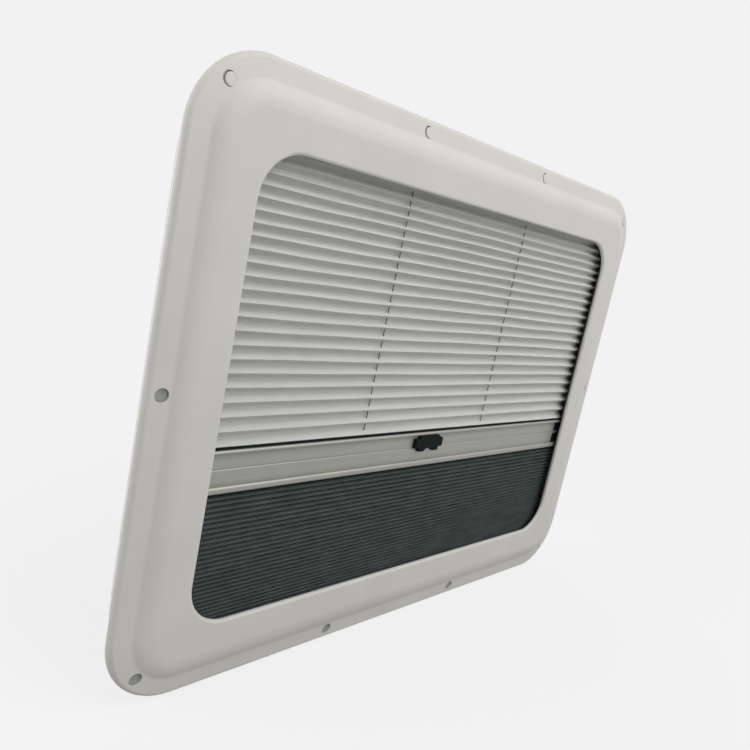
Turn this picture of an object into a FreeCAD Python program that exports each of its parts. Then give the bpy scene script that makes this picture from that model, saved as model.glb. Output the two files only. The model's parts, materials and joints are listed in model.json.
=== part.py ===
import FreeCAD, Part
import math
import os

# Caravan rooflight, stood upright: +X right, +Z up to the blind's head, -Y to the room, +Y outside.
# The origin is the middle of the screw pattern, on the seat of the inner frame's flange.

# Inner frame
flange_width = 752.0
flange_height = 564.0
flange_corner = 70.0
flange_thickness = 8.0
flange_flat = 17.5
flange_slope = 9.0
flange_edge_wall = 0.4
seat_width = 18.0
frame_wall = 3.0
raise_height = 6.5
foot_radius = 8.0
brow_radius = 34.0
brow_overlap = 6.0
side_band = 69.0
end_band = 69.0
opening_corner = 43.0
rim_depth = 4.0
rim_width = 6.0
rim_round = 3.0

# Screw recesses round the flange
screw_inset = 13.0
screw_pitch = 226.0
side_screw_rise = 6.0
screw_hole = 4.8
recess_diameter = 12.0
recess_depth = 4.5

# Roof cut-out and outer frame
side_cover = 26.0
end_cover = 32.0
cutout_corner = 52.0
cutout_clearance = 3.0
roof_thickness = 25.0
spigot_wall = 3.0
spigot_reach = 20.0
spigot_overlap = 6.0
spigot_clearance = 0.3
roof_wall = 2.5
roof_flange = 8.0
roof_flange_thickness = 4.0
roof_edge_chamfer = 1.5
upstand_gap = 6.0
upstand_height = 5.0
upstand_wall = 3.0

# Glazing
seal_thickness = 2.5
seal_inset = 3.0
pane_thickness = 3.0
pane_inset = 2.5
dome_height = 17.0
dome_wall = 4.0
dome_round = 15.0

# Blind and flyscreen
fabric_plane = 1.0
fabric_thickness = 0.4
pleat_depth = 11.0
pleat_grading = 0.2
blind_pleat_count = 24
screen_pleat_count = 32
cord_spacing = 218.0
cord_diameter = 1.2
cord_hole = 3.0

# Rails, housings and strips
rail_width = 16.0
rail_depth = 25.0
rail_wall = 2.0
rail_gap = 0.1
corner_clearance = 1.0
slot_depth = 13.6
housing_wall = 2.0
housing_front = 16.0
housing_back = 24.0
housing_clearance = 1.5
strip_depth = 8.0
strip_thickness = 3.0

# Pull bars
bar_top = -47.0
blind_bar_height = 18.5
screen_bar_height = 23.0
bar_depth = 8.0
bar_wall = 1.6
bar_end_clearance = 5.0
glide_length = 13.5
clamp_height = 2.0
lip_projection = 2.5
blind_lip_height = 4.0
blind_lip_round = 1.9
screen_lip_height = 7.0
screen_lip_round = 2.4
joint_chamfer = 0.8
tongue_thickness = 6.0
tongue_clearance = 0.3
tongue_end_gap = 1.0
tongue_inset = 3.0
plug_length = 12.0
plug_clearance = 0.2

# Latch
latch_width = 50.0
latch_height = 18.5
latch_thickness = 5.0
latch_body = 36.0
latch_shoulder = 3.0
latch_wing = 11.0
latch_foot = 10.0
latch_arch = 4.0
latch_corner = 1.2
latch_edge = 0.8

# Levels and lengths that follow
face_front = -flange_thickness - raise_height
face_back = face_front + frame_wall
ramp_turn = math.acos(1 - raise_height / (foot_radius + brow_radius))
ramp_run = (foot_radius + brow_radius) * math.sin(ramp_turn)
shell_inset = flange_flat + ramp_run + brow_overlap
flange_fall = math.radians(flange_slope)
opening_width = flange_width - 2 * side_band
opening_height = flange_height - 2 * end_band
rail_inner = flange_width / 2 - flange_flat - ramp_run - rail_gap - rail_width
rail_back = face_back + rail_depth
roof_top = roof_thickness + roof_flange_thickness
land_top = roof_top + upstand_height
land_reach = upstand_gap + upstand_wall
pane_back = land_top + seal_thickness
dome_base = pane_back + pane_thickness
spigot_width = flange_width - 2 * side_cover - 2 * cutout_clearance
spigot_height = flange_height - 2 * end_cover - 2 * cutout_clearance
spigot_corner = cutout_corner - cutout_clearance
spigot_inner_corner = spigot_corner - spigot_wall
spigot_corner_x = spigot_width / 2 - spigot_corner
spigot_corner_z = spigot_height / 2 - spigot_corner
roof_spigot_inset = spigot_wall + spigot_clearance
roof_spigot_width = spigot_width - 2 * roof_spigot_inset
roof_spigot_height = spigot_height - 2 * roof_spigot_inset
roof_spigot_corner = spigot_corner - roof_spigot_inset
housing_top = roof_spigot_height / 2 - roof_wall - housing_clearance
strip_top = housing_top - housing_wall
fabric_top = strip_top - strip_thickness
bar_length = 2 * (rail_inner - bar_end_clearance)
fabric_width = bar_length
bar_web_length = bar_length - 2 * glide_length
bar_joint = bar_top - blind_bar_height
bar_bottom = bar_joint - screen_bar_height
bar_back = fabric_plane + bar_depth / 2
bar_front = fabric_plane - bar_depth / 2
boolean_margin = 1.0


def vec(x, y, z):
    return FreeCAD.Vector(x, y, z)


def box_between(low, high):
    size = high.sub(low)
    return Part.makeBox(size.x, size.y, size.z, low)


def edges_along(shape, axis):
    return [edge for edge in shape.Edges if is_straight_along(edge, axis)]


def is_straight_along(edge, axis):
    if not isinstance(edge.Curve, Part.Line):
        return False
    return abs(edge.tangentAt(edge.FirstParameter).dot(axis)) > 0.999


def rounded_block(width, height, corner, y_low, y_high):
    block = box_between(vec(-width / 2, y_low, -height / 2), vec(width / 2, y_high, height / 2))
    return block.makeFillet(corner, edges_along(block, vec(0, 1, 0)))


def rounded_ring(width, height, corner, wall, y_low, y_high):
    outer = rounded_block(width, height, corner, y_low, y_high)
    inner = rounded_block(
        width - 2 * wall,
        height - 2 * wall,
        corner - wall,
        y_low - boolean_margin,
        y_high + boolean_margin,
    )
    return outer.cut(inner)


def round_ring(section, width, height, corner):
    # A section on the middle of the lower side, carried round a rectangle with rounded corners.
    side_x = width / 2 - corner
    side_z = height / 2 - corner
    pivot = vec(side_x, 0, -side_z)
    turn = vec(0, -1, 0)
    at_corner = section.translated(vec(side_x, 0, 0))
    bend = at_corner.revolve(pivot, turn, 90)
    lower = at_corner.extrude(vec(-2 * side_x, 0, 0))
    right = at_corner.rotated(pivot, turn, 90).extrude(vec(0, 0, 2 * side_z))
    pieces = [bend, mirrored(bend), turned_over(bend), mirrored(turned_over(bend))]
    pieces += [turned_over(lower), right, mirrored(right)]
    return lower.fuse(pieces).removeSplitter()


def mirrored(shape):
    return shape.mirror(vec(0, 0, 0), vec(1, 0, 0))


def turned_over(shape):
    return shape.mirror(vec(0, 0, 0), vec(0, 0, 1))


def line(a, b):
    return Part.LineSegment(a, b).toShape()


def arc(a, middle, b):
    return Part.Arc(a, middle, b).toShape()


def polygon_face(points):
    return Part.Face(Part.makePolygon(points + points[:1]))


def along_x(profile_points, x_low, x_high):
    face = polygon_face([vec(x_low, y, z) for y, z in profile_points])
    return face.extrude(vec(x_high - x_low, 0, 0))


def foot_point(angle):
    inset = flange_flat + foot_radius * math.sin(angle)
    return lower_side(inset, -flange_thickness - foot_radius * (1 - math.cos(angle)))


def edge_round():
    # Radius of the flange's edge, which leaves only a low wall at its side.
    foot = foot_point(flange_fall)
    foot_inset = foot.z + flange_height / 2
    spare = -foot.y - flange_edge_wall - foot_inset * math.tan(flange_fall)
    return spare / (math.cos(flange_fall) - (1 - math.sin(flange_fall)) * math.tan(flange_fall))


def edge_point(angle):
    # On the flange's rounded edge, where its front, which falls outwards, meets its side.
    radius = edge_round()
    return lower_side(radius * (1 - math.cos(angle)), -flange_edge_wall - radius * math.sin(angle))


def brow_point(angle, depth):
    # On the brow's arc, or on the same arc a depth behind it.
    radius = brow_radius - depth
    inset = flange_flat + ramp_run - radius * math.sin(angle)
    return lower_side(inset, face_front + brow_radius - radius * math.cos(angle))


def brow_arc(depth):
    return arc(brow_point(ramp_turn, depth), brow_point(ramp_turn / 2, depth), brow_point(0, depth))


def lower_side(inset, level):
    # A point of the sections, which stand on the middle of the lower side; inset runs upwards.
    return vec(0, level, inset - flange_height / 2)


def flange_section():
    # Section of flange, ramp and brow.
    edge_turn = math.pi / 2 - flange_fall
    inner_side = [
        brow_point(0, 0),
        lower_side(shell_inset, face_front),
        lower_side(shell_inset, face_back),
        brow_point(0, frame_wall),
        brow_point(ramp_turn, frame_wall),
        lower_side(seat_width, 0),
        lower_side(0, 0),
        edge_point(0),
    ]
    edges = [
        arc(edge_point(0), edge_point(edge_turn / 2), edge_point(edge_turn)),
        line(edge_point(edge_turn), foot_point(flange_fall)),
        arc(foot_point(flange_fall), foot_point((flange_fall + ramp_turn) / 2), brow_point(ramp_turn, 0)),
        brow_arc(0),
    ]
    edges += Part.makePolygon(inner_side).Edges
    return Part.Face(Part.Wire(Part.__sortEdges__(edges)))


def under_skin():
    # Space behind the middle of the ramp's wall and of the face, where the spigot may stand.
    depth = frame_wall / 2
    far = spigot_reach + boolean_margin
    outline = [
        brow_point(0, depth),
        lower_side(shell_inset, face_front + depth),
        lower_side(shell_inset, far),
        lower_side(seat_width, far),
        lower_side(seat_width, 0),
        brow_point(ramp_turn, depth),
    ]
    edges = [brow_arc(depth)] + list(Part.makePolygon(outline).Edges)
    section = Part.Face(Part.Wire(Part.__sortEdges__(edges)))
    return round_ring(section, flange_width, flange_height, flange_corner)


def face_ring():
    plate = rounded_block(
        flange_width - 2 * shell_inset,
        flange_height - 2 * shell_inset,
        flange_corner - shell_inset,
        face_front,
        face_back,
    )
    rim = rounded_block(
        opening_width + 2 * rim_width,
        opening_height + 2 * rim_width,
        opening_corner + rim_width,
        face_front,
        face_front + rim_depth,
    )
    opening = rounded_block(
        opening_width,
        opening_height,
        opening_corner,
        face_front - boolean_margin,
        face_front + rim_depth + boolean_margin,
    )
    ring = plate.fuse(rim).cut(opening).removeSplitter()
    return ring.makeFillet(rim_round, rim_edges(ring))


def rim_edges(ring):
    edges = []
    for edge in ring.Edges:
        box = edge.BoundBox
        on_front = abs(box.YMin - face_front) < 1e-6 and abs(box.YMax - face_front) < 1e-6
        inside = box.XMax <= opening_width / 2 + 1e-6 and box.XMin >= -opening_width / 2 - 1e-6
        within = box.ZMax <= opening_height / 2 + 1e-6 and box.ZMin >= -opening_height / 2 - 1e-6
        if on_front and inside and within:
            edges.append(edge)
    return edges


def screw_places():
    reach = (flange_corner - screw_inset) * math.sqrt(0.5)
    corner_x = flange_width / 2 - flange_corner + reach
    corner_z = flange_height / 2 - flange_corner + reach
    long_z = flange_height / 2 - screw_inset
    places = [(x * corner_x, z * corner_z) for x in (-1, 1) for z in (-1, 1)]
    places += [(x * screw_pitch / 2, z * long_z) for x in (-1, 1) for z in (-1, 1)]
    places += [(x * (flange_width / 2 - screw_inset), side_screw_rise) for x in (-1, 1)]
    return places


def screw_cut(x, z):
    through = Part.makeCylinder(
        screw_hole / 2,
        flange_thickness + 2 * boolean_margin,
        vec(x, -flange_thickness - boolean_margin, z),
        vec(0, 1, 0),
    )
    recess = Part.makeCylinder(
        recess_diameter / 2,
        raise_height,
        vec(x, recess_depth - flange_thickness - raise_height, z),
        vec(0, 1, 0),
    )
    return through.fuse(recess)


def inner_frame():
    shell = round_ring(flange_section(), flange_width, flange_height, flange_corner)
    spigot = rounded_ring(
        spigot_width,
        spigot_height,
        spigot_corner,
        spigot_wall,
        face_front,
        spigot_reach,
    ).common(under_skin())
    frame = shell.fuse([face_ring(), spigot]).removeSplitter()
    return frame.cut([screw_cut(x, z) for x, z in screw_places()])


def roof_section():
    # Hat section on the middle of the lower side; reach runs outwards from the spigot.
    def point(reach, level):
        return vec(0, level, -roof_spigot_height / 2 - reach)

    tip = land_reach + roof_flange
    spigot_start = spigot_reach - spigot_overlap
    return polygon_face([
        point(-roof_wall, spigot_start),
        point(0, spigot_start),
        point(0, land_top - upstand_wall),
        point(upstand_gap, land_top - upstand_wall),
        point(upstand_gap, roof_thickness),
        point(tip, roof_thickness),
        point(tip, roof_top - roof_edge_chamfer),
        point(tip - roof_edge_chamfer, roof_top),
        point(land_reach, roof_top),
        point(land_reach, land_top),
        point(-roof_wall, land_top),
    ])


def roof_frame():
    return round_ring(roof_section(), roof_spigot_width, roof_spigot_height, roof_spigot_corner)


def dome_seal():
    reach = land_reach - seal_inset
    return rounded_ring(
        roof_spigot_width + 2 * reach,
        roof_spigot_height + 2 * reach,
        roof_spigot_corner + reach,
        reach + roof_wall - seal_inset,
        land_top,
        pane_back,
    )


def glazing_block(inset, y_low, y_high):
    reach = land_reach - pane_inset - inset
    return rounded_block(
        roof_spigot_width + 2 * reach,
        roof_spigot_height + 2 * reach,
        roof_spigot_corner + reach,
        y_low,
        y_high,
    )


def top_edges(block, level):
    edges = []
    for edge in block.Edges:
        if abs(edge.BoundBox.YMin - level) < 1e-6:
            edges.append(edge)
    return edges


def inner_pane():
    return glazing_block(0, pane_back, dome_base)


def outer_dome():
    crown = dome_base + dome_height
    outer = glazing_block(0, dome_base, crown)
    outer = outer.makeFillet(dome_round, top_edges(outer, crown))
    inner = glazing_block(dome_wall, dome_base - boolean_margin, crown - dome_wall)
    inner = inner.makeChamfer(dome_round - dome_wall, top_edges(inner, crown - dome_wall))
    return outer.cut(inner)


def rail_reach():
    # Where the rail's outer edge would meet the rounded corner inside the spigot.
    aside = rail_inner + rail_width - spigot_corner_x
    return spigot_corner_z + math.sqrt(spigot_inner_corner**2 - aside**2) - corner_clearance


def right_rail():
    slot_half = tongue_thickness / 2 + tongue_clearance
    slot_low = fabric_plane - slot_half
    slot_high = fabric_plane + slot_half
    outer = rail_inner + rail_width

    def rail_box(x_low, x_high, y_low, y_high):
        return box_between(vec(x_low, y_low, -rail_reach()), vec(x_high, y_high, rail_reach()))

    rail = rail_box(rail_inner, outer, face_back, rail_back)
    slot = rail_box(rail_inner, rail_inner + slot_depth, slot_low, slot_high)
    hollow_low = rail_inner + rail_wall
    hollow_high = outer - rail_wall
    front = rail_box(hollow_low, hollow_high, face_back + rail_wall, slot_low - rail_wall)
    back = rail_box(hollow_low, hollow_high, slot_high + rail_wall, rail_back - rail_wall)
    return rail.cut([slot, front, back])


def housing_reach():
    # Where the housing's upper edge would meet the rounded corner inside the spigot.
    above = housing_top - spigot_corner_z
    return spigot_corner_x + math.sqrt(spigot_inner_corner**2 - above**2) - corner_clearance


def blind_housing():
    points = [
        (face_back, housing_top - housing_front),
        (face_back, housing_top),
        (rail_back, housing_top),
        (rail_back, housing_top - housing_back),
        (rail_back - housing_wall, housing_top - housing_back),
        (rail_back - housing_wall, strip_top),
        (face_back + housing_wall, strip_top),
        (face_back + housing_wall, housing_top - housing_front),
    ]
    return along_x(points, -housing_reach(), housing_reach())


def blind_head_strip():
    low = vec(-fabric_width / 2, fabric_plane - strip_depth / 2, fabric_top)
    high = vec(fabric_width / 2, fabric_plane + strip_depth / 2, strip_top)
    return box_between(low, high)


def cord_cut(x, thickness, z_low, z_high):
    half = thickness / 2
    return box_between(vec(x - half, fabric_plane - half, z_low), vec(x + half, fabric_plane + half, z_high))


def graded(share):
    # Place of a fold along its sheet; the pleats are closer together at the fixed end.
    return share * (1 - pleat_grading + pleat_grading * share)


def pleated_sheet(z_fixed, z_moving, count):
    # Zigzag sheet that starts and ends on the cords' plane, with a hole at each cord in every fold.
    travel = z_moving - z_fixed
    half_pitch = abs(travel) / (2 * count)
    thickness = fabric_thickness * math.hypot(pleat_depth, half_pitch) / half_pitch
    swing = (pleat_depth - thickness) / 2
    chain = [(fabric_plane, z_fixed)]
    for fold in range(2 * count):
        side = -1 if fold % 2 == 0 else 1
        share = (fold + 0.5) / (2 * count)
        chain.append((fabric_plane + side * swing, z_fixed + travel * graded(share)))
    chain.append((fabric_plane, z_moving))
    front = [(y - thickness / 2, z) for y, z in chain]
    back = [(y + thickness / 2, z) for y, z in reversed(chain)]
    sheet = along_x(front + back, -fabric_width / 2, fabric_width / 2)
    low = min(z_fixed, z_moving) - boolean_margin
    high = max(z_fixed, z_moving) + boolean_margin
    return sheet.cut([cord_cut(x, cord_hole, low, high) for x in cord_places()])


def cord_places():
    return [-cord_spacing / 2, cord_spacing / 2]


def blind_pleats():
    return pleated_sheet(fabric_top, bar_top + clamp_height, blind_pleat_count)


def screen_pleats():
    return pleated_sheet(-fabric_top, bar_bottom - clamp_height, screen_pleat_count)


def guide_cord(x):
    low = vec(x, fabric_plane, -fabric_top)
    return Part.makeCylinder(cord_diameter / 2, 2 * fabric_top, low, vec(0, 0, 1))


def bar_outline(height, lip_height, lip_round):
    # A box from the joint outwards, with a rounded lip along its outer front edge.
    lip_front = bar_front - lip_projection
    corner = lip_round * (1 - math.sqrt(0.5))

    def point(y, up):
        return vec(0, y, bar_joint + up)

    edges = [
        line(point(bar_back, 0), point(bar_back, height)),
        line(point(bar_back, height), point(lip_front + lip_round, height)),
        arc(point(lip_front + lip_round, height), point(lip_front + corner, height - corner),
            point(lip_front, height - lip_round)),
        line(point(lip_front, height - lip_round), point(lip_front, height - lip_height + lip_round)),
        arc(point(lip_front, height - lip_height + lip_round),
            point(lip_front + corner, height - lip_height + corner),
            point(lip_front + lip_round, height - lip_height)),
        line(point(lip_front + lip_round, height - lip_height), point(bar_front, height - lip_height)),
        line(point(bar_front, height - lip_height), point(bar_front, joint_chamfer)),
        line(point(bar_front, joint_chamfer), point(bar_front + joint_chamfer, 0)),
        line(point(bar_front + joint_chamfer, 0), point(bar_back, 0)),
    ]
    return Part.Face(Part.Wire(edges))


def pull_bar(height, lip_height, lip_round):
    # Upper bar; its web stops short of the ends, where only the lip and the two walls run on.
    half = bar_length / 2
    section = bar_outline(height, lip_height, lip_round).translated(vec(-half, 0, 0))
    bar = section.extrude(vec(bar_length, 0, 0))
    hollow = box_between(
        vec(-half, bar_front + bar_wall, bar_joint + bar_wall),
        vec(half, bar_back - bar_wall, bar_joint + height - bar_wall),
    )
    right_end = box_between(
        vec(bar_web_length / 2, bar_front, bar_joint + bar_wall),
        vec(half + boolean_margin, bar_back + boolean_margin, bar_joint + height - bar_wall),
    )
    holes = [cord_bore(x, height) for x in cord_places()]
    return bar.cut([hollow, right_end, mirrored(right_end)] + holes)


def cord_bore(x, height):
    low = vec(x, fabric_plane, bar_joint - boolean_margin)
    return Part.makeCylinder(cord_hole / 2, height + clamp_height + 2 * boolean_margin, low, vec(0, 0, 1))


def below_joint(shape):
    return shape.mirror(vec(0, 0, bar_joint), vec(0, 0, 1))


def clamp_strip(height):
    # Holds the fabric's moving end on top of its bar.
    top = bar_joint + height
    low = vec(-fabric_width / 2, fabric_plane - strip_depth / 2, top)
    high = vec(fabric_width / 2, fabric_plane + strip_depth / 2, top + clamp_height)
    return box_between(low, high).cut([cord_bore(x, height) for x in cord_places()])


def glide_right(height):
    # End piece: a body between the bar's walls, a plug in its hollow and a tongue in the rail's slot.
    web_end = bar_web_length / 2
    bar_end = bar_length / 2
    low = bar_joint + bar_wall
    high = bar_joint + height - bar_wall
    gap = bar_wall + plug_clearance
    half_tongue = tongue_thickness / 2
    tip = rail_inner + slot_depth - tongue_end_gap
    body = box_between(vec(web_end, bar_front, low), vec(bar_end, bar_back, high))
    plug = box_between(
        vec(web_end - plug_length, bar_front + gap, low + plug_clearance),
        vec(web_end, bar_back - gap, high - plug_clearance),
    )
    tongue = box_between(
        vec(bar_end, fabric_plane - half_tongue, low + tongue_inset),
        vec(tip, fabric_plane + half_tongue, high - tongue_inset),
    )
    return body.fuse([plug, tongue]).removeSplitter()


def latch_outline():
    # Body with two side wings and two feet, arched between the feet.
    top = bar_top - blind_lip_height
    bottom = top - latch_height
    shoulder = top - latch_shoulder
    wing_low = shoulder - latch_wing
    half = latch_width / 2
    body = latch_body / 2
    foot = body - latch_foot
    right = [(body, top), (body, shoulder), (half, shoulder), (half, wing_low)]
    right += [(body, wing_low), (body, bottom), (foot, bottom)]
    left = [(-x, z) for x, z in reversed(right)]
    points = [vec(x, bar_front, z) for x, z in right]
    ends = [vec(x, bar_front, z) for x, z in left]
    edges = list(Part.makePolygon(points).Edges)
    edges.append(arc(points[-1], vec(0, bar_front, bottom + latch_arch), ends[0]))
    edges += Part.makePolygon(ends).Edges
    edges.append(line(ends[-1], points[0]))
    return Part.Face(Part.Wire(edges))


def bar_latch():
    grip = latch_outline().extrude(vec(0, -latch_thickness, 0))
    grip = grip.makeFillet(latch_corner, edges_along(grip, vec(0, 1, 0)))
    front = [e for e in grip.Edges if abs(e.BoundBox.YMax - bar_front + latch_thickness) < 1e-6]
    return grip.makeChamfer(latch_edge, front)


def assembly():
    rail = right_rail()
    housing = blind_housing()
    strip = blind_head_strip()
    upper_glide = glide_right(blind_bar_height)
    lower_glide = below_joint(glide_right(screen_bar_height))
    left_cord, right_cord = cord_places()
    return {
        "inner_frame": inner_frame(),
        "roof_frame": roof_frame(),
        "dome_seal": dome_seal(),
        "inner_pane": inner_pane(),
        "outer_dome": outer_dome(),
        "left_rail": mirrored(rail),
        "right_rail": rail,
        "blind_housing": housing,
        "screen_housing": turned_over(housing),
        "blind_head_strip": strip,
        "screen_foot_strip": turned_over(strip),
        "blind_pleats": blind_pleats(),
        "screen_pleats": screen_pleats(),
        "guide_cord_left": guide_cord(left_cord),
        "guide_cord_right": guide_cord(right_cord),
        "blind_bar": pull_bar(blind_bar_height, blind_lip_height, blind_lip_round),
        "screen_bar": below_joint(pull_bar(screen_bar_height, screen_lip_height, screen_lip_round)),
        "blind_clamp_strip": clamp_strip(blind_bar_height),
        "screen_clamp_strip": below_joint(clamp_strip(screen_bar_height)),
        "blind_bar_glide_left": mirrored(upper_glide),
        "blind_bar_glide_right": upper_glide,
        "screen_bar_glide_left": mirrored(lower_glide),
        "screen_bar_glide_right": lower_glide,
        "bar_latch": bar_latch(),
    }


os.makedirs("parts", exist_ok=True)
for name, shape in assembly().items():
    shape.exportStep("parts/" + name + ".step")
    print(name, len(shape.Solids), shape.isValid(), round(shape.Volume / 1000, 2), "cm3")
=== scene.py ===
import json
import math
import bpy
import numpy as np
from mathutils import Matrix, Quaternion, Vector


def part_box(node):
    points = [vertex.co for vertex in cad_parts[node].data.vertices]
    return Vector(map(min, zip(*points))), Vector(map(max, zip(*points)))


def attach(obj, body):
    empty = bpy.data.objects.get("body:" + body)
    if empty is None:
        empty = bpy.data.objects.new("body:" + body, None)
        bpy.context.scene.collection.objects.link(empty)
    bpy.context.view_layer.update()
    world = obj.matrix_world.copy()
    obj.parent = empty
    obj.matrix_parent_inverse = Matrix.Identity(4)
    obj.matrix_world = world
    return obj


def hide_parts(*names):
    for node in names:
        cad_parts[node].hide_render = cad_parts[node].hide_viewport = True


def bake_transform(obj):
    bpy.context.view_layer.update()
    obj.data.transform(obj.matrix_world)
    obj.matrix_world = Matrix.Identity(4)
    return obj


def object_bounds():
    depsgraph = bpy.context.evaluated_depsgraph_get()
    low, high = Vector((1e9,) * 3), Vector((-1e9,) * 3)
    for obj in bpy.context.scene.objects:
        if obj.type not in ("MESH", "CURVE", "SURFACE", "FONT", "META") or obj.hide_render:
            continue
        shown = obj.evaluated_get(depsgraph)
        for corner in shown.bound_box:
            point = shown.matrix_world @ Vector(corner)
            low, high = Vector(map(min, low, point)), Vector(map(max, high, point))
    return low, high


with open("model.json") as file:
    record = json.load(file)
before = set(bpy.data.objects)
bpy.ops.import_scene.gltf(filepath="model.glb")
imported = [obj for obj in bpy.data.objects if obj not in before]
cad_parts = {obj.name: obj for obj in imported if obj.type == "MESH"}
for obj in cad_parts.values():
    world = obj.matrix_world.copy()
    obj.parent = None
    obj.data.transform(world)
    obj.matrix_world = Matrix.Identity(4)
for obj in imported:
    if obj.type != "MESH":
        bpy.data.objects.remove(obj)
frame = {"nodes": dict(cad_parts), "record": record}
cadLow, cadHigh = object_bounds()
nodes = frame["nodes"]
mounts = {mount["name"]: mount for mount in frame["record"]["mounts"]}


# selecting, placing and finishing

def deselectAll():
    if bpy.context.mode != "OBJECT":
        bpy.ops.object.mode_set(mode="OBJECT")
    bpy.ops.object.select_all(action="DESELECT")


def makeActive(obj):
    deselectAll()
    obj.select_set(True)
    bpy.context.view_layer.objects.active = obj


def applyPlace(obj):
    makeActive(obj)
    bpy.ops.object.transform_apply(location=True, rotation=True, scale=True)


def applyModifier(obj, kind, **settings):
    makeActive(obj)
    modifier = obj.modifiers.new(kind.lower(), kind)
    for name, value in settings.items():
        setattr(modifier, name, value)
    bpy.ops.object.modifier_apply(modifier=modifier.name)


def selectFaces(obj, wanted):
    # faces are picked in object mode, for the next edit
    makeActive(obj)
    bpy.ops.object.mode_set(mode="EDIT")
    bpy.ops.mesh.select_mode(type="FACE")
    bpy.ops.mesh.select_all(action="DESELECT")
    bpy.ops.object.mode_set(mode="OBJECT")
    for face in obj.data.polygons:
        face.select = wanted(face)
    bpy.ops.object.mode_set(mode="EDIT")


def smoothByAngle(obj, degrees):
    makeActive(obj)
    bpy.ops.object.shade_smooth_by_angle(angle=math.radians(degrees))


# shader nodes

def newMaterial(name):
    material = bpy.data.materials.new(name)
    material.use_nodes = True
    tree = material.node_tree
    return material, tree, tree.nodes["Principled BSDF"]


def setLevels(node, levels):
    for name, value in levels.items():
        node.inputs[name].default_value = value


def addNode(tree, kind, **values):
    node = tree.nodes.new(kind)
    for name, value in values.items():
        if name in node.inputs:
            node.inputs[name].default_value = value
        else:
            setattr(node, name, value)
    return node


def objectPoints(tree, scale=(1, 1, 1)):
    points = addNode(tree, "ShaderNodeTexCoord")
    mapping = addNode(tree, "ShaderNodeMapping", Scale=scale)
    tree.links.new(points.outputs["Object"], mapping.inputs["Vector"])
    return mapping.outputs["Vector"]


def noiseOn(tree, vector, scale, detail):
    noise = addNode(tree, "ShaderNodeTexNoise", Scale=scale, Detail=detail)
    tree.links.new(vector, noise.inputs["Vector"])
    return noise.outputs["Fac"]


def rampOn(tree, value, stops, tones):
    ramp = addNode(tree, "ShaderNodeValToRGB")
    for element, stop, tone in zip(ramp.color_ramp.elements, stops, tones):
        element.position = stop
        element.color = (*tone, 1)
    tree.links.new(value, ramp.inputs["Fac"])
    return ramp.outputs["Color"]


def rangeOn(tree, value, low, high, start=0.0, end=1.0):
    spread = addNode(tree, "ShaderNodeMapRange")
    setLevels(spread, {"From Min": start, "From Max": end, "To Min": low, "To Max": high})
    tree.links.new(value, spread.inputs["Value"])
    return spread.outputs["Result"]


def bumpOn(tree, shader, height, strength, distance):
    bump = addNode(tree, "ShaderNodeBump", Strength=strength, Distance=distance)
    tree.links.new(height, bump.inputs["Height"])
    tree.links.new(bump.outputs["Normal"], shader.inputs["Normal"])


def mixValues(tree, first, second, operation):
    maths = addNode(tree, "ShaderNodeMath", operation=operation)
    for socket, value in zip(maths.inputs, (first, second)):
        if isinstance(value, (int, float)):
            socket.default_value = value
        else:
            tree.links.new(value, socket)
    return maths.outputs["Value"]


def mixShares(tree, first, firstShare, second, secondShare):
    firstPart = mixValues(tree, first, firstShare, "MULTIPLY")
    secondPart = mixValues(tree, second, secondShare, "MULTIPLY")
    return mixValues(tree, firstPart, secondPart, "ADD")


def mixShaders(tree, share, first, second, target):
    mixed = addNode(tree, "ShaderNodeMixShader")
    tree.links.new(share, mixed.inputs["Fac"])
    tree.links.new(first.outputs[0], mixed.inputs[1])
    tree.links.new(second.outputs[0], mixed.inputs[2])
    tree.links.new(mixed.outputs[0], target)


# moulded plastics

mouldedBase = dict(blotch=18.0, blotchDetail=4.0, stops=(0.3, 0.7), grainDetail=2.0, grainDepth=0.0002,
                   ior=1.5, specular=0.5)
plastics = {
    "frame": dict(mouldedBase, tones=((0.558, 0.540, 0.503), (0.586, 0.568, 0.532)),
                  roughness=(0.45, 0.62), grainScale=900.0, grainStrength=0.2),
    "roof": dict(mouldedBase, tones=((0.770, 0.770, 0.755), (0.815, 0.815, 0.800)),
                 roughness=(0.38, 0.55), grainScale=700.0, grainStrength=0.2),
    "rail": dict(mouldedBase, tones=((0.200, 0.212, 0.212), (0.235, 0.248, 0.248)),
                 roughness=(0.50, 0.66), grainScale=800.0, grainStrength=0.2, specular=0.3),
    "black": dict(mouldedBase, tones=((0.005, 0.009, 0.008), (0.009, 0.014, 0.013)),
                  roughness=(0.50, 0.66), grainScale=1100.0, grainStrength=0.25, specular=0.05),
    "rubber": dict(mouldedBase, tones=((0.010, 0.010, 0.010), (0.020, 0.020, 0.020)),
                   roughness=(0.70, 0.90), grainScale=600.0, grainStrength=0.3),
    # zinc grey tones, darkened to paint the shade of the open recesses
    "screw": dict(mouldedBase, tones=((0.232, 0.240, 0.218), (0.275, 0.284, 0.262)),
                  roughness=(0.50, 0.70), grainScale=1500.0, grainStrength=0.4, specular=0.3, blotch=300.0),
}


def mouldedPlastic(name, tones, stops, roughness, blotch, blotchDetail, grainScale, grainDetail,
                   grainStrength, grainDepth, ior, specular):
    material, tree, shader = newMaterial(name)
    points = objectPoints(tree)
    cloud = noiseOn(tree, points, blotch, blotchDetail)
    grain = noiseOn(tree, points, grainScale, grainDetail)
    tree.links.new(rampOn(tree, cloud, stops, tones), shader.inputs["Base Color"])
    tree.links.new(rangeOn(tree, grain, *roughness), shader.inputs["Roughness"])
    bumpOn(tree, shader, grain, grainStrength, grainDepth)
    setLevels(shader, {"IOR": ior, "Specular IOR Level": specular})
    return material


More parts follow.
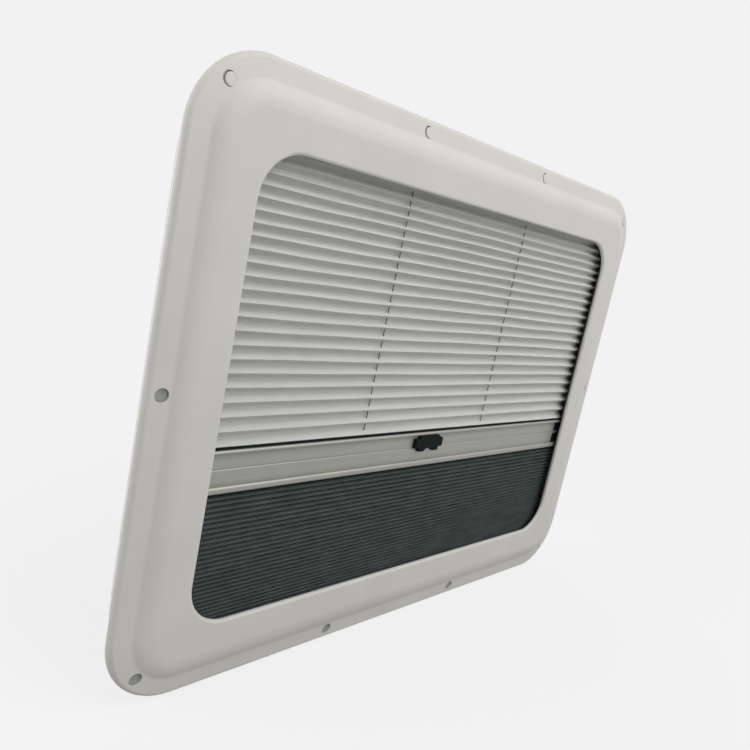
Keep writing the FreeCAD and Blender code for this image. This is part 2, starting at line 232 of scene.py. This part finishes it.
framePlastic = mouldedPlastic("frame_plastic_offwhite", **plastics["frame"])
roofPlastic = mouldedPlastic("roof_plastic_white", **plastics["roof"])
railPlastic = mouldedPlastic("rail_plastic_black", **plastics["rail"])
blackPlastic = mouldedPlastic("latch_plastic_black", **plastics["black"])
sealRubber = mouldedPlastic("seal_rubber_black", **plastics["rubber"])
screwMetal = mouldedPlastic("screw_zinc_painted_shade", **plastics["screw"])  # too dull to shine as metal; its zinc grey is darkened to paint the shade on the recess floors


# satin bar metal, drawn along its length

barFinish = dict(
    tones=((0.30, 0.307, 0.275), (0.35, 0.355, 0.320)), stops=(0.3, 0.7), roughness=(0.38, 0.50),
    drawn=(4.0, 900.0, 900.0), streakShare=0.7, cloudScale=25.0, cloudShare=0.3, detail=3.0,
    bump=(0.15, 0.0001), levels={"Metallic": 0.6, "Anisotropic": 0.3},
    paintedLipShade=((-0.0570, -0.0510, 0.26), (-0.0765, -0.0815, 0.20)),  # painted shade under the upper lip and over the lower one: start, corner and strength on each bar
    paintedShadeFront=-0.0034,
)


def paintedCornerShade(tree, points, start, corner, strength, front):
    # painted shade: a darker line where a bar's face meets its lip, deepest in the corner
    axes = addNode(tree, "ShaderNodeSeparateXYZ")
    tree.links.new(points, axes.inputs[0])
    nearness = rangeOn(tree, axes.outputs["Z"], 0.0, strength, start, corner)
    onFace = mixValues(tree, axes.outputs["Y"], front, "GREATER_THAN")
    return mixValues(tree, nearness, onFace, "MULTIPLY")


def drawnMetal(name, tones, stops, roughness, drawn, streakShare, cloudScale, cloudShare, detail,
               bump, levels, paintedLipShade, paintedShadeFront):
    material, tree, shader = newMaterial(name)
    points = objectPoints(tree)
    streaks = noiseOn(tree, objectPoints(tree, drawn), 1.0, detail)
    clouds = noiseOn(tree, points, cloudScale, detail)
    both = mixShares(tree, streaks, streakShare, clouds, cloudShare)
    # painted shade along the lips darkens the bar's colour
    shadeLines = [paintedCornerShade(tree, points, *corner, paintedShadeFront) for corner in paintedLipShade]
    unshadedShare = mixValues(tree, 1.0, mixValues(tree, *shadeLines, "MAXIMUM"), "SUBTRACT")
    shadedTone = addNode(tree, "ShaderNodeVectorMath", operation="SCALE")
    tree.links.new(rampOn(tree, both, stops, tones), shadedTone.inputs[0])
    tree.links.new(unshadedShare, shadedTone.inputs["Scale"])
    tree.links.new(shadedTone.outputs["Vector"], shader.inputs["Base Color"])
    tree.links.new(rangeOn(tree, streaks, *roughness), shader.inputs["Roughness"])
    bumpOn(tree, shader, streaks, *bump)
    setLevels(shader, levels)
    return material


barMetal = drawnMetal("bar_metal_satin", **barFinish)


# tinted glazing

glazing = dict(
    tint=(0.26, 0.30, 0.29), lighten=1.08, stops=(0.35, 0.75), smearScale=14.0, smearDetail=5.0,
    hazeScale=260.0, hazeDetail=2.0, roughness=(0.015, 0.05), bump=(0.004, 0.0001),
    levels={"Transmission Weight": 1.0, "IOR": 1.49},
)


def tintedAcrylic(name, tint, lighten, stops, smearScale, smearDetail, hazeScale, hazeDetail,
                  roughness, bump, levels):
    material, tree, shader = newMaterial(name)
    points = objectPoints(tree)
    smears = noiseOn(tree, points, smearScale, smearDetail)
    haze = noiseOn(tree, points, hazeScale, hazeDetail)
    lighter = tuple(lighten * value for value in tint)
    tree.links.new(rampOn(tree, smears, stops, (tint, lighter)), shader.inputs["Base Color"])
    tree.links.new(rangeOn(tree, smears, *roughness), shader.inputs["Roughness"])
    bumpOn(tree, shader, haze, *bump)
    setLevels(shader, levels)
    return material


glazingAcrylic = tintedAcrylic("acrylic_dark_tint", **glazing)


# braided cord

cordFinish = dict(tones=((0.075, 0.080, 0.076), (0.115, 0.120, 0.115)), stops=(0.2, 0.8), braidScale=220.0,
                  wander=1.5, bump=(0.6, 0.0002), levels={"Roughness": 0.85})


def bandsOn(tree, vector, scale, wander, direction):
    bands = addNode(tree, "ShaderNodeTexWave", Scale=scale, Distortion=wander, bands_direction=direction)
    tree.links.new(vector, bands.inputs["Vector"])
    return bands.outputs["Fac"]


def braidedCord(name, tones, stops, braidScale, wander, bump, levels):
    material, tree, shader = newMaterial(name)
    braid = bandsOn(tree, objectPoints(tree), braidScale, wander, "Z")
    tree.links.new(rampOn(tree, braid, stops, tones), shader.inputs["Base Color"])
    bumpOn(tree, shader, braid, *bump)
    setLevels(shader, levels)
    return material


cordFibre = braidedCord("cord_braid_dark", **cordFinish)


# woven cloth, on the cloth's own map (metres along and across)

blindFinish = dict(
    tones=((0.585, 0.594, 0.552), (0.622, 0.632, 0.588)), stops=(0.25, 0.65), threads=500.0, wander=0.3,
    weaveShare=0.35, slubScale=40.0, slubDetail=5.0, slubShare=0.65, bump=(0.25, 0.0002),
    levels={
        "Roughness": 0.82, "Sheen Weight": 0.1, "Sheen Roughness": 0.5,
        "Subsurface Weight": 0.4,  # light comes through the thin cloth
        "Subsurface Radius": (1.0, 1.0, 1.0), "Subsurface Scale": 0.006,
    },
)
screenFinish = dict(
    tones=((0.057, 0.077, 0.072), (0.089, 0.114, 0.106)), stops=(0.3, 0.7), threads=420.0, wander=0.3,
    alpha=(0.30, 0.85),  # between the threads and on them
    dustScale=30.0, dustDetail=4.0, bump=(0.4, 0.0002), levels={"Roughness": 0.6},
)


def wovenThreads(tree, threads, wander):
    mapped = addNode(tree, "ShaderNodeUVMap", uv_map="clothMap").outputs["UV"]
    warp = bandsOn(tree, mapped, threads, wander, "X")
    weft = bandsOn(tree, mapped, threads, wander, "Y")
    return mapped, warp, weft


def blindCloth(name, tones, stops, threads, wander, weaveShare, slubScale, slubDetail, slubShare,
               bump, levels):
    material, tree, shader = newMaterial(name)
    mapped, warp, weft = wovenThreads(tree, threads, wander)
    weave = mixValues(tree, warp, weft, "MULTIPLY")
    slubs = noiseOn(tree, mapped, slubScale, slubDetail)
    tone = mixShares(tree, weave, weaveShare, slubs, slubShare)
    tree.links.new(rampOn(tree, tone, stops, tones), shader.inputs["Base Color"])
    bumpOn(tree, shader, weave, *bump)
    setLevels(shader, levels)
    return material


def screenMesh(name, tones, stops, threads, wander, alpha, dustScale, dustDetail, bump, levels):
    material, tree, shader = newMaterial(name)
    mapped, warp, weft = wovenThreads(tree, threads, wander)
    thread = mixValues(tree, warp, weft, "MAXIMUM")
    dust = noiseOn(tree, mapped, dustScale, dustDetail)
    tree.links.new(rampOn(tree, dust, stops, tones), shader.inputs["Base Color"])
    tree.links.new(rangeOn(tree, thread, *alpha), shader.inputs["Alpha"])
    bumpOn(tree, shader, thread, *bump)
    setLevels(shader, levels)
    return material


blindFabric = blindCloth("blind_cloth_pale", **blindFinish)
screenFabric = screenMesh("screen_mesh_dark", **screenFinish)

nodeFinish = {
    "inner_frame": framePlastic, "roof_frame": roofPlastic, "dome_seal": sealRubber,
    "inner_pane": glazingAcrylic, "outer_dome": glazingAcrylic,
    "left_rail": railPlastic, "right_rail": railPlastic,
    "blind_housing": railPlastic, "screen_housing": railPlastic,
    "blind_head_strip": railPlastic, "screen_foot_strip": railPlastic,
    "guide_cord_left": cordFibre, "guide_cord_right": cordFibre,
    "blind_bar": barMetal, "screen_bar": barMetal,
    "blind_clamp_strip": blackPlastic, "screen_clamp_strip": blackPlastic,
    "blind_bar_glide_left": blackPlastic, "blind_bar_glide_right": blackPlastic,
    "screen_bar_glide_left": blackPlastic, "screen_bar_glide_right": blackPlastic,
    "bar_latch": blackPlastic,
}
for nodeName, material in nodeFinish.items():
    mesh = nodes[nodeName].data
    mesh.materials.clear()
    mesh.materials.append(material)
print("materials on", len(nodeFinish), "nodes")


# pleated sheets

blindSheet = dict(
    name="blind_cloth", node="blind_pleats", fixedAtTop=True, pleats=24.36, grading=0.2, depth=0.0085,
    ridge=0.08, valley=0.75, spread=0.0035, slack=0.0005, thickness=0.00035, stepsPerSlope=10, columns=72,
)
screenSheet = dict(
    name="screen_cloth", node="screen_pleats", fixedAtTop=False, pleats=32, grading=0.2, depth=0.0080,
    ridge=0.18, valley=0.18, spread=0.0, slack=0.0003, thickness=0.0002, stepsPerSlope=6, columns=60,
)
clothRipple = dict(broad=(9, 5), fine=(23, -31), fineShare=0.6)  # radians across and along the sheet
clothSmoothing = 35  # degrees


def foldWave(phase, ridge, valley):
    # straight slopes between -1 and 1, with ridges and valleys rounded over their own stretch
    triangle = 2 / math.pi * np.arcsin(np.sin(phase))
    reach = np.abs(triangle)
    crease = np.where(triangle > 0, ridge, valley)
    rounded = 1 - crease / 2 - (1 - reach) ** 2 / (2 * crease)
    wave = np.sign(triangle) * np.where(reach > 1 - crease, rounded, reach)
    top = 1 - ridge / 2
    bottom = valley / 2 - 1
    return (2 * wave - top - bottom) / (top - bottom)


def rippleWave(across, along, broad, fine, fineShare):
    broadWave = np.sin(broad[0] * across + broad[1] * along)
    fineWave = np.sin(fine[0] * across + fine[1] * along)
    return broadWave + fineShare * fineWave


def sheetEnds(low, high, fixedAtTop):
    return (high.z, low.z) if fixedAtTop else (low.z, high.z)


def pleatedCloth(name, node, fixedAtTop, pleats, grading, depth, ridge, valley, spread, slack,
                 thickness, stepsPerSlope, columns):
    low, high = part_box(node)
    fixedZ, movingZ = sheetEnds(low, high, fixedAtTop)
    left = low.x - spread
    width = high.x - low.x + 2 * spread
    middle = (low.y + high.y) / 2
    rows = round(2 * pleats * stepsPerSlope)
    deselectAll()
    bpy.ops.mesh.primitive_grid_add(x_subdivisions=columns, y_subdivisions=rows, size=1.0)
    cloth = bpy.context.object
    cloth.name = name
    shape = np.empty(len(cloth.data.vertices) * 3)
    cloth.data.vertices.foreach_get("co", shape)
    shape = shape.reshape(-1, 3)
    across = shape[:, 0] + 0.5  # the grid is 1 wide, about its middle
    along = shape[:, 1] + 0.5
    share = 1 - along if fixedAtTop else along  # from the fixed end, where the pleats are closer
    travelled = share * (1 - grading + grading * share)
    folds = foldWave(2 * math.pi * pleats * share, ridge, valley)
    ripple = slack * rippleWave(across, along, **clothRipple)
    shape[:, 0] = left + across * width
    shape[:, 1] = middle - folds * (depth + ripple) / 2
    shape[:, 2] = fixedZ + travelled * (movingZ - fixedZ) + ripple * np.sin(math.pi * along)
    cloth.data.vertices.foreach_set("co", shape.ravel())
    slope = math.hypot(depth, (high.z - low.z) / (2 * pleats))
    length = 2 * pleats * slope
    clothMap = cloth.data.uv_layers[0]
    clothMap.name = "clothMap"
    for loop in cloth.data.loops:
        vertex = loop.vertex_index
        clothMap.data[loop.index].uv = (across[vertex] * width, along[vertex] * length)
    applyModifier(cloth, "SOLIDIFY", thickness=thickness, offset=0.0)
    smoothByAngle(cloth, clothSmoothing)
    return cloth, (width, length), (fixedZ, movingZ)


def hangCloth(settings, material):
    cloth, flat, (fixedZ, movingZ) = pleatedCloth(**settings)
    cloth.data.materials.append(material)
    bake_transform(cloth)
    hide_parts(settings["node"])
    print("cloth", cloth.name, "flat", [round(size, 3) for size in flat], "faces", len(cloth.data.polygons))


hangCloth(blindSheet, blindFabric)
hangCloth(screenSheet, screenFabric)


# screws in the ten recesses: those at the top and right have covers, the others have lost theirs

coverDisc = dict(radius=0.0056, height=0.0037, sides=48, bevel=0.0007,
                 rise=0.0001, steps=((0.25, 0.6), (0.35, 0.4)))  # each step's shares of radius and rise
coverPlace = dict(aside=(0.0020, -0.0002), tilt=9.0, nearSide=0.3, nearEnd=0.2)
coverKept = dict(above=0.1, rightOf=0.2)
screwDisc = dict(radius=0.0058, height=0.0024, sides=40, bevel=0.0002,
                 rise=-0.0002, steps=((0.2, 0.0), (0.1, 1.0)))
recessFloor = -0.0035
discFinish = dict(bevelSegments=3, smoothing=40)
roomward = Vector((0, -1, 0))


def screwPlaces():
    places = []
    for mountName in ("corner_screws", "long_side_screws", "short_side_screws"):
        sizes = mounts[mountName]["dims"]
        middleZ = mounts[mountName]["pos_m"][2]
        halfX = sizes["spacing_x_mm"] / 2000
        halfZ = sizes.get("spacing_y_mm", 0) / 2000
        for x in (-halfX, halfX):
            for z in sorted({middleZ - halfZ, middleZ + halfZ}):
                places.append((x, z))
    return places


def turnedDisc(name, material, radius, height, sides, bevel, rise, steps):
    # made once, about the origin and with its top up
    deselectAll()
    bpy.ops.mesh.primitive_cylinder_add(vertices=sides, radius=radius, depth=height)
    disc = bpy.context.object
    disc.name = name
    selectFaces(disc, lambda face: face.normal.z > 0.9)
    for inset, share in steps:
        bpy.ops.mesh.inset(thickness=radius * inset, depth=rise * share)
    bpy.ops.object.mode_set(mode="OBJECT")
    applyModifier(disc, "BEVEL", width=bevel, segments=discFinish["bevelSegments"], limit_method="ANGLE")
    smoothByAngle(disc, discFinish["smoothing"])
    disc.data.materials.append(material)
    return disc


def setDisc(original, name, x, z, height, facing):
    makeActive(original)
    bpy.ops.object.duplicate()
    obj = bpy.context.object
    obj.name = name
    obj.location = (x, recessFloor - height / 2, z)
    obj.rotation_euler = facing.to_track_quat("Z", "Y").to_euler()
    applyPlace(obj)
    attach(obj, "frame")


def flangeFacing(x, z, tilt, nearSide, nearEnd):
    # the flange falls away to its nearest edge, and to both at a corner
    sideways = math.copysign(1, x) if abs(x) > nearSide else 0
    endways = math.copysign(1, z) if abs(z) > nearEnd else 0
    outward = Vector((sideways, 0, endways)).normalized()
    lean = math.radians(tilt)
    return roomward * math.cos(lean) + outward * math.sin(lean)


def setCover(original, name, x, z, aside, **leaning):
    facing = flangeFacing(x, z, **leaning)
    setDisc(original, name, x + aside[0], z + aside[1], coverDisc["height"], facing)


cover = turnedDisc("screw_cover", framePlastic, **coverDisc)
head = turnedDisc("screw_head", screwMetal, **screwDisc)
for number, (x, z) in enumerate(screwPlaces(), 1):
    if z > coverKept["above"] or x > coverKept["rightOf"]:
        setCover(cover, f"screw_cover_{number:02d}", x, z, **coverPlace)
    else:
        setDisc(head, f"screw_head_{number:02d}", x, z, screwDisc["height"], roomward)
for original in (cover, head):
    makeActive(original)
    bpy.ops.object.delete()
print("screws", number)


# stage, lights and camera

backdrop = (0.888, 0.888, 0.888)
worldSettings = dict(backdrop=backdrop, ambient=0.34)
floorSettings = dict(size=6.0, backdrop=backdrop, bounce=0.27, roughness=0.9, drop=0.0005,
                     plainShare=0.88, shadowReach=0.55, fadeReach=1.1)
lampSettings = {
    "keyPanel": dict(place=(0.38, -1.35, 1.60), aim=(0, 0, 0), size=2.1, power=38.5),
    "fillPanel": dict(place=(-0.6, -2.0, 0.4), aim=(0, 0, 0), size=1.6, power=8.0),
    "backPanel": dict(place=(0.8, 1.5, 1.4), aim=(0, 0, 0), size=1.4, power=12.0),
    "sidePanel": dict(place=(-1.7, 0.9, 0.5), aim=(0, 0, 0), size=1.2, power=20.0),
}
cameraSettings = dict(place=(-0.6749, -0.4969, 0.1595), aim=(-0.1105, 0.0, 0.0209), roll=11.666,
                      lens=35.058, nearest=0.01)
mixColours = dict(first=6, second=7, result=2)  # a Mix node's colour sockets share names with others


def seenDirectly(tree):
    path = addNode(tree, "ShaderNodeLightPath")
    seen = mixValues(tree, path.outputs["Is Camera Ray"], path.outputs["Is Glossy Ray"], "MAXIMUM")
    return mixValues(tree, seen, path.outputs["Is Transmission Ray"], "MAXIMUM")


def paleWorld(backdrop, ambient):
    world = bpy.data.worlds.new("paleStudio")
    bpy.context.scene.world = world
    world.use_nodes = True
    tree = world.node_tree
    light = tree.nodes["Background"]
    setLevels(light, {"Color": (1, 1, 1, 1), "Strength": ambient})
    shown = addNode(tree, "ShaderNodeBackground", Color=(*backdrop, 1), Strength=1.0)
    mixShaders(tree, seenDirectly(tree), light, shown, tree.nodes["World Output"].inputs["Surface"])


def paleFloor(size, backdrop, bounce, roughness, drop, plainShare, shadowReach, fadeReach):
    deselectAll()
    bpy.ops.mesh.primitive_plane_add(size=size, location=(0, 0, cadLow.z - drop))
    floor = bpy.context.object
    floor.name = "studio_floor"
    applyPlace(floor)
    material, tree, shader = newMaterial("floor_pale")
    seen = seenDirectly(tree)
    shades = addNode(tree, "ShaderNodeMix", data_type="RGBA")
    tree.links.new(seen, shades.inputs["Factor"])
    shades.inputs[mixColours["first"]].default_value = (bounce, bounce, bounce, 1)  # light thrown back
    shades.inputs[mixColours["second"]].default_value = (*backdrop, 1)
    tree.links.new(shades.outputs[mixColours["result"]], shader.inputs["Base Color"])
    shader.inputs["Roughness"].default_value = roughness
    plain = addNode(tree, "ShaderNodeEmission", Color=(*backdrop, 1), Strength=1.0)
    points = addNode(tree, "ShaderNodeTexCoord")
    distance = addNode(tree, "ShaderNodeVectorMath", operation="LENGTH")
    tree.links.new(points.outputs["Object"], distance.inputs[0])
    fade = rangeOn(tree, distance.outputs["Value"], plainShare, 1.0, shadowReach, fadeReach)
    share = mixValues(tree, fade, seen, "MULTIPLY")
    mixShaders(tree, share, shader, plain, tree.nodes["Material Output"].inputs["Surface"])
    floor.data.materials.append(material)


def lookFrom(place, aim):
    return (Vector(aim) - Vector(place)).to_track_quat("-Z", "Y")


def addLamp(name, place, aim, size, power):
    lamp = bpy.data.lights.new(name, "AREA")
    lamp.size = size
    lamp.energy = power
    holder = bpy.data.objects.new(name, lamp)
    holder.location = place
    holder.rotation_euler = lookFrom(place, aim).to_euler()
    bpy.context.scene.collection.objects.link(holder)


def addCamera(place, aim, roll, lens, nearest):
    camera = bpy.data.objects.new("photoCamera", bpy.data.cameras.new("photoCamera"))
    camera.data.lens = lens
    camera.data.clip_start = nearest
    camera.location = place
    camera.rotation_mode = "QUATERNION"
    camera.rotation_quaternion = lookFrom(place, aim) @ Quaternion((0, 0, 1), math.radians(roll))
    bpy.context.scene.collection.objects.link(camera)
    bpy.context.scene.camera = camera


paleWorld(**worldSettings)
paleFloor(**floorSettings)
for lampName, settings in lampSettings.items():
    addLamp(lampName, **settings)
addCamera(**cameraSettings)
bpy.context.scene.view_settings.view_transform = "Standard"
print("stage, lamps and camera set")
